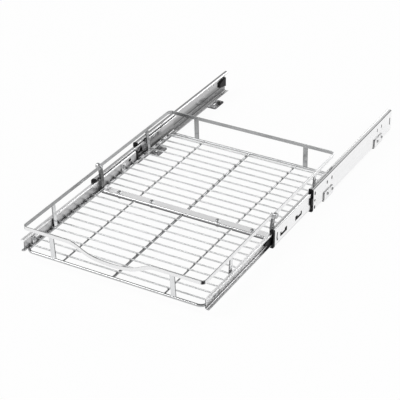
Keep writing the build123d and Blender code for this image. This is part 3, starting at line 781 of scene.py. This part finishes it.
# ---------------------------------------------------------------- operators: finishes on the solids


class BASKET_OT_wires(bpy.types.Operator):
    """Finishes the perimeter rods, cross rods and wires of the basket floor."""

    bl_idname = "basket.wires"
    bl_label = "Wires and rods"

    def execute(self, context):
        welds = (SIDE_ROD, SIDE_WIRE, 0.0)
        # The lightness set here for each part is painted light and shade on the one chrome.
        cross_wires = drawn_chrome(
            "chrome_cross_wires", "X", tone_and_shade=1.05, gloss=0.44, relief=0.008, weld_rows=welds
        )
        paint(cross_wires, "front_cross_wires", "rear_cross_wires")
        long_wires = drawn_chrome("chrome_long_wires", "Y", tone_and_shade=0.52, gloss=0.16)
        paint(long_wires, "front_long_wires", "rear_long_wires")
        crown = (ROD_TOP, FRONT_ROD)
        front_rod = drawn_chrome("chrome_front_rod", "Y", tone_and_shade=0.85, gloss=0.15, crown=crown)
        paint(front_rod, "front_base_rod")
        rear_rod = drawn_chrome("chrome_rear_rod", "Y", tone_and_shade=0.84, gloss=0.32)
        paint(rear_rod, "rear_base_rod")
        cross_rods = drawn_chrome("chrome_cross_rods", "X", tone_and_shade=0.7, gloss=0.2)
        paint(cross_rods, "front_cross_rod", "rear_cross_rod")
        return {"FINISHED"}


class BASKET_OT_rims(bpy.types.Operator):
    """Finishes the rim strips and their posts."""

    bl_idname = "basket.rims"
    bl_label = "Rims and posts"

    def execute(self, context):
        # The lightness set here for each part is painted light and shade on the one chrome.
        strip = (FRONT_RIM, RIM_FRONT)
        front_rim = drawn_chrome("chrome_front_rim", "Y", tone_and_shade=0.64, gloss=0.22, outer=strip)
        paint(front_rim, "front_rim")
        strip = (REAR_RIM, None)
        rear_rim = drawn_chrome("chrome_rear_rim", "Y", tone_and_shade=0.76, gloss=0.22, outer=strip)
        paint(rear_rim, "rear_rim")
        paint(post_chrome("chrome_front_posts", tone_and_shade=1.3), "front_posts")
        paint(post_chrome("chrome_rear_posts", tone_and_shade=0.72), "rear_posts")
        return {"FINISHED"}


class BASKET_OT_rails(bpy.types.Operator):
    """Finishes the rails of both slides and the joining strip."""

    bl_idname = "basket.rails"
    bl_label = "Slide rails"

    def execute(self, context):
        paint(rolled_zinc("zinc_cabinet_rails", rail=CABINET_RAIL), *both("cabinet_rail"))
        paint(rolled_zinc("zinc_middle_rails", rail=MIDDLE_RAIL), *both("middle_rail"))
        paint(rolled_zinc("zinc_drawer_rails", rail=DRAWER_RAIL), *both("drawer_rail"))
        paint(strip_zinc("zinc_joining_strip"), "joining_strip")
        return {"FINISHED"}


class BASKET_OT_brackets(bpy.types.Operator):
    """Finishes the floor brackets and the tabs that carry the basket."""

    bl_idname = "basket.brackets"
    bl_label = "Brackets and tabs"

    def execute(self, context):
        zinc = bracket_zinc("zinc_brackets")
        paint(zinc, *both("front_bracket"), *both("rear_bracket"))
        paint(rolled_zinc("zinc_tabs", tone_and_shade=0.8), *both("rail_tabs"))
        return {"FINISHED"}


class BASKET_OT_plastics(bpy.types.Operator):
    """Finishes the bumpers, stops, levers and ball cages."""

    bl_idname = "basket.plastics"
    bl_label = "Plastic pieces"

    def execute(self, context):
        hard = moulded_plastic("black_plastic", grain=2600.0, gloss=0.34)
        hard_pieces = (
            "rail_bumper", "middle_bumper", "drawer_bumper", "rear_stop", "release_lever"
        )
        for name in hard_pieces:
            paint(hard, *both(name))
        dark = moulded_plastic("cage_plastic", grain=3400.0, gloss=0.42)
        paint(dark, *both("outer_ball_cage"), *both("inner_ball_cage"))
        return {"FINISHED"}


class BASKET_OT_fasteners(bpy.types.Operator):
    """Finishes the balls, rivets, pins, nuts and bolts."""

    bl_idname = "basket.fasteners"
    bl_label = "Balls and fasteners"

    def execute(self, context):
        paint(bearing_steel("ball_steel"), *both("outer_balls"), *both("inner_balls"))
        plated = plated_fastener("plated_fasteners")
        for name in ("bracket_rivets", "lever_pin", "rail_nuts", "rim_bolt", "cap_nut"):
            paint(plated, *both(name))
        paint(plated, "joining_nuts")
        return {"FINISHED"}


# ---------------------------------------------------------------- operators: welds and screws


class BASKET_OT_welds(bpy.types.Operator):
    """Adds the weld beads at the crossings, at the long wires' ends and at the posts' feet."""

    bl_idname = "basket.welds"
    bl_label = "Weld beads"

    def bead(self):
        """A lump of unit size with a lobe toward each corner of a crossing, and a flatter top."""
        bpy.ops.object.select_all(action="DESELECT")
        bpy.ops.mesh.primitive_uv_sphere_add(segments=16, ring_count=8, radius=1.0)
        lump = bpy.context.active_object
        edit(lump)
        pick(lump, lambda place, normal: abs(abs(place.x) - abs(place.y)) < 0.25
             and place.xy.length > 0.5, "VERT")
        bpy.ops.transform.resize(value=(1.22, 1.22, 0.85))
        pick(lump, lambda place, normal: place.z > 0.7, "VERT")
        bpy.ops.transform.resize(value=(1.15, 1.15, 0.9))
        close_edit()
        smooth(lump, 80.0)
        return lump

    def places(self, wires, ends, side_post, end_rod):
        """Place and half sizes of each bead of one half of the basket."""
        reach, height = sizes().bead_reach, sizes().bead_height
        seat = ROD_TOP + 0.00003
        first, count = wires
        beads = []
        for y in (first + WIRE_PITCH * row for row in range(count)):
            for x in (-SIDE_WIRE, SIDE_WIRE):
                beads.append(((x, y, seat), (reach, reach, height)))
            beads.append(((0.0, y, seat), (reach * 1.15, reach, height)))
            for x in (-SIDE_ROD, SIDE_ROD):
                beads.append(((x, y, seat), (reach * 1.05, reach, height)))
        for y in ends:
            for x in (-SIDE_WIRE, 0.0, SIDE_WIRE):
                spread = (reach * 0.95, reach * 0.7, height * 1.2)
                beads.append(((x, y, ROD_TOP - 0.0016), spread))
        length, width, thickness = 0.0045, 0.0017, 0.0008
        for x in (-SIDE_ROD, SIDE_ROD):
            beads.append(((x, side_post, seat), (width, length, thickness)))
        for x in (-END_POST, END_POST):
            beads.append(((x, end_rod, seat), (length, width, thickness)))
        return beads

    def execute(self, context):
        metal = weld_metal("weld_metal")
        halves = {
            "front": (FRONT_WIRES, FRONT_ENDS, SIDE_POSTS[0], FRONT_ROD),
            "rear": (REAR_WIRES, REAR_ENDS, SIDE_POSTS[1], REAR_ROD),
        }
        for half, rows in halves.items():
            spots = [
                Matrix.Translation(place) @ Matrix.Diagonal((*spread, 1.0))
                for place, spread in self.places(*rows)
            ]
            welds = joined(copies(self.bead(), spots), half + "_weld_beads")
            dress(welds, metal, "basket")
        return {"FINISHED"}


class BASKET_OT_screws(bpy.types.Operator):
    """Models the cross-recess screws of the joining strip and of the drawer rails."""

    bl_idname = "basket.screws"
    bl_label = "Cross-recess screws"

    def screw(self, length):
        """A pan-head screw: its head stands on the plane z = 0 and its shank points down."""
        size = sizes()
        bpy.ops.object.select_all(action="DESELECT")
        bpy.ops.mesh.primitive_cylinder_add(
            vertices=40, radius=size.head_radius, depth=size.head_height,
            location=(0.0, 0.0, size.head_height / 2),
        )
        screw = bpy.context.active_object
        settle(screw)
        edit(screw)
        pick(screw, lambda place, normal: normal.z > 0.9)
        bpy.ops.mesh.region_to_loop()
        bpy.ops.mesh.bevel(offset=size.head_height * 0.5, segments=5, affect="EDGES")
        pick(screw, lambda place, normal: normal.z < -0.9)
        bpy.ops.mesh.inset(thickness=size.head_radius - size.shank_radius)
        turns = int(length / size.thread_pitch)
        root = 0.86                 # the thread's root, as a share of the shank's radius
        for _ in range(turns):
            for factor in (root, 1 / root):
                bpy.ops.mesh.extrude_region_move(
                    TRANSFORM_OT_translate={"value": (0.0, 0.0, -length / turns / 2)})
                bpy.ops.transform.resize(value=(factor, factor, 1.0))
        close_edit()
        for turn in (0.0, math.pi / 2):
            self.cut_arm(screw, turn)
        smooth(screw)
        return screw

    def cut_arm(self, screw, turn):
        """Cuts one arm of the cross recess, narrower at its bottom."""
        size = sizes()
        bpy.ops.object.select_all(action="DESELECT")
        bpy.ops.mesh.primitive_cube_add(size=1.0)
        arm = bpy.context.active_object
        edit(arm)
        pick(arm, lambda place, normal: normal.z < -0.9)
        bpy.ops.transform.resize(value=(0.55, 0.7, 1.0))
        close_edit()
        arm.scale = (size.head_radius * 1.15, size.recess_width, size.recess_depth * 2)
        arm.rotation_euler.z = turn
        arm.location.z = size.head_height
        cut = screw.modifiers.new("recess", "BOOLEAN")
        cut.operation = "DIFFERENCE"
        cut.solver = "EXACT"
        cut.object = arm
        bpy.ops.object.select_all(action="DESELECT")
        bpy.context.view_layer.objects.active = screw
        screw.select_set(True)
        bpy.ops.object.modifier_apply(modifier=cut.name)
        bpy.data.objects.remove(arm)

    def execute(self, context):
        size = sizes()
        plated = plated_fastener("plated_screws")
        low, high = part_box("joining_screws")
        row = (low[1] + high[1]) / 2
        outer = high[0] - size.head_radius
        head_plane = high[2] - size.head_height
        spots = [
            Matrix.Translation((x, row, head_plane))
            for x in (-outer, -STRIP_SCREW, STRIP_SCREW, outer)
        ]
        strip_screws = joined(copies(self.screw(head_plane - low[2]), spots), "cross_screws_strip")
        dress(strip_screws, plated, "basket")
        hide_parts("joining_screws")
        for side, sign in (("left", -1), ("right", 1)):
            low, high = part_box(side + "_rail_screws")
            inner = min(abs(low[0]), abs(high[0])) + size.head_height
            outer = max(abs(low[0]), abs(high[0]))
            turn = Matrix.Rotation(-sign * math.pi / 2, 4, "Y")
            spots = [
                Matrix.Translation((sign * inner, y, (low[2] + high[2]) / 2)) @ turn
                for y in (low[1] + size.head_radius, high[1] - size.head_radius)
            ]
            screws = joined(copies(self.screw(outer - inner), spots), side + "_cross_screws_rail")
            dress(screws, plated, "basket")
            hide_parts(side + "_rail_screws")
        return {"FINISHED"}


# ---------------------------------------------------------------- operator: the stage


class BASKET_OT_stage(bpy.types.Operator):
    """Adds the floor, the black card, the studio light and the camera."""

    bl_idname = "basket.stage"
    bl_label = "Floor, light and camera"

    def execute(self, context):
        ground = CAD_BOX[0][2]
        bpy.ops.object.select_all(action="DESELECT")
        bpy.ops.mesh.primitive_plane_add(size=14.0, location=(0.0, 0.0, ground - 0.0002))
        floor = context.active_object
        floor.name = "studio_floor"
        material, graph = new_material("studio_floor")
        shown = graph.node("ShaderNodeLightPath", output="Is Camera Ray")
        mirrored = graph.node("ShaderNodeLightPath", output="Is Glossy Ray")
        matt = graph.node(
            "ShaderNodeBsdfDiffuse", inputs={"Color": colours().floor[:], "Roughness": 0.0}
        )
        white = graph.node("ShaderNodeEmission", inputs={"Color": (1.0, 1.0, 1.0), "Strength": 1.0})
        glow = shown * 0.95 + mirrored * 0.78
        surface = graph.node("ShaderNodeMixShader", inputs={0: glow, 1: matt, 2: white})
        graph.node("ShaderNodeOutputMaterial", inputs={"Surface": surface})
        floor.data.materials.append(material)
        settle(floor)
        self.add_card(context)
        self.light_world(context)
        self.add_lamps(context)
        self.add_camera(context)
        return {"FINISHED"}

    def add_card(self, context):
        """A black card on the floor, ahead of the front right corner: only the metal mirrors it."""
        ground = CAD_BOX[0][2]
        bpy.ops.object.select_all(action="DESELECT")
        bpy.ops.mesh.primitive_plane_add(size=0.13, location=(0.252, -0.612, ground))
        card = context.active_object
        card.name = "black_card"
        edit(card)
        bpy.ops.mesh.select_all(action="SELECT")
        bpy.ops.mesh.subdivide(number_cuts=1)
        close_edit()
        material, graph = new_material("black_card")
        graph.surface(base_color=(0.01, 0.01, 0.01), metallic=0.0, roughness=0.9)
        card.data.materials.append(material)
        settle(card)
        card.visible_camera = False
        card.visible_diffuse = False
        card.visible_shadow = False

    def light_world(self, context):
        """White walls under a dark ceiling that is lighter straight overhead."""
        world = bpy.data.worlds.new("studio_world")
        context.scene.world = world
        graph = Graph(world)
        path = graph.node("ShaderNodeLightPath", output="Is Camera Ray")
        direction = graph.node("ShaderNodeTexCoord", output="Generated")
        height = graph.axes(direction)[2]
        room = graph.node(
            "ShaderNodeValToRGB",
            {
                "stops": [
                    (0.00, (0.95, 0.95, 0.95)),
                    (0.50, (0.86, 0.86, 0.86)),
                    (0.62, (0.12, 0.12, 0.12)),
                    (0.92, (0.10, 0.10, 0.10)),
                    (1.00, (0.70, 0.70, 0.70)),
                ]
            },
            {"Fac": height},
        )
        seen = graph.blend(path, room, (1.0, 1.0, 1.0))
        light = graph.node("ShaderNodeBackground", inputs={"Color": seen, "Strength": 1.0})
        graph.node("ShaderNodeOutputWorld", inputs={"Surface": light})

    def add_lamps(self, context):
        middle = Vector((0.0, -0.2, 0.03))
        lamps = (
            ("key_lamp", (-1.7, -1.5, 2.6), (1.6, 1.2), 42.0),
            ("fill_lamp", (2.4, -0.6, 1.5), (1.6, 1.4), 22.0),
            ("back_lamp", (0.2, 2.6, 1.9), (2.2, 0.8), 26.0),
        )
        for name, place, (width, height), power in lamps:
            data = bpy.data.lights.new(name, "AREA")
            data.shape = "RECTANGLE"
            data.size = width
            data.size_y = height
            data.energy = power
            lamp = bpy.data.objects.new(name, data)
            lamp.location = place
            lamp.rotation_euler = (middle - Vector(place)).to_track_quat("-Z", "Y").to_euler()
            context.scene.collection.objects.link(lamp)

    def add_camera(self, context):
        settings = sizes()
        data = bpy.data.cameras.new("studio_camera")
        data.lens = settings.camera_lens
        data.sensor_width = 36.0
        data.clip_end = 50.0
        camera = bpy.data.objects.new("studio_camera", data)
        turn = (
            Matrix.Rotation(settings.camera_azimuth, 4, "Z")
            @ Matrix.Rotation(math.pi / 2 - settings.camera_elevation, 4, "X")
            @ Matrix.Rotation(settings.camera_roll, 4, "Z")
        )
        camera.matrix_world = Matrix.Translation(settings.camera_place) @ turn
        context.scene.collection.objects.link(camera)
        context.scene.camera = camera
        context.scene.view_settings.view_transform = "Standard"


class BASKET_PT_panel(bpy.types.Panel):
    """Lists the steps that dress the basket."""

    bl_label = "Cabinet Basket"
    bl_idname = "BASKET_PT_panel"
    bl_space_type = "VIEW_3D"
    bl_region_type = "UI"
    bl_category = "Basket"

    def draw(self, context):
        for step in STEPS:
            self.layout.operator(step.bl_idname)
        for group in (context.scene.basket_sizes, context.scene.basket_colours):
            for name in group.__annotations__:
                self.layout.prop(group, name)


STEPS = (
    BASKET_OT_wires,
    BASKET_OT_rims,
    BASKET_OT_rails,
    BASKET_OT_brackets,
    BASKET_OT_plastics,
    BASKET_OT_fasteners,
    BASKET_OT_welds,
    BASKET_OT_screws,
    BASKET_OT_stage,
)
CLASSES = (BasketSizes, BasketColours, *STEPS, BASKET_PT_panel)


def register():
    for cls in CLASSES:
        bpy.utils.register_class(cls)
    bpy.types.Scene.basket_sizes = bpy.props.PointerProperty(type=BasketSizes)
    bpy.types.Scene.basket_colours = bpy.props.PointerProperty(type=BasketColours)


def unregister():
    del bpy.types.Scene.basket_colours
    del bpy.types.Scene.basket_sizes
    for cls in reversed(CLASSES):
        bpy.utils.unregister_class(cls)


def main():
    register()
    bpy.ops.basket.wires()
    bpy.ops.basket.rims()
    bpy.ops.basket.rails()
    bpy.ops.basket.brackets()
    bpy.ops.basket.plastics()
    bpy.ops.basket.fasteners()
    bpy.ops.basket.welds()
    bpy.ops.basket.screws()
    bpy.ops.basket.stage()


if __name__ == "__main__":
    main()
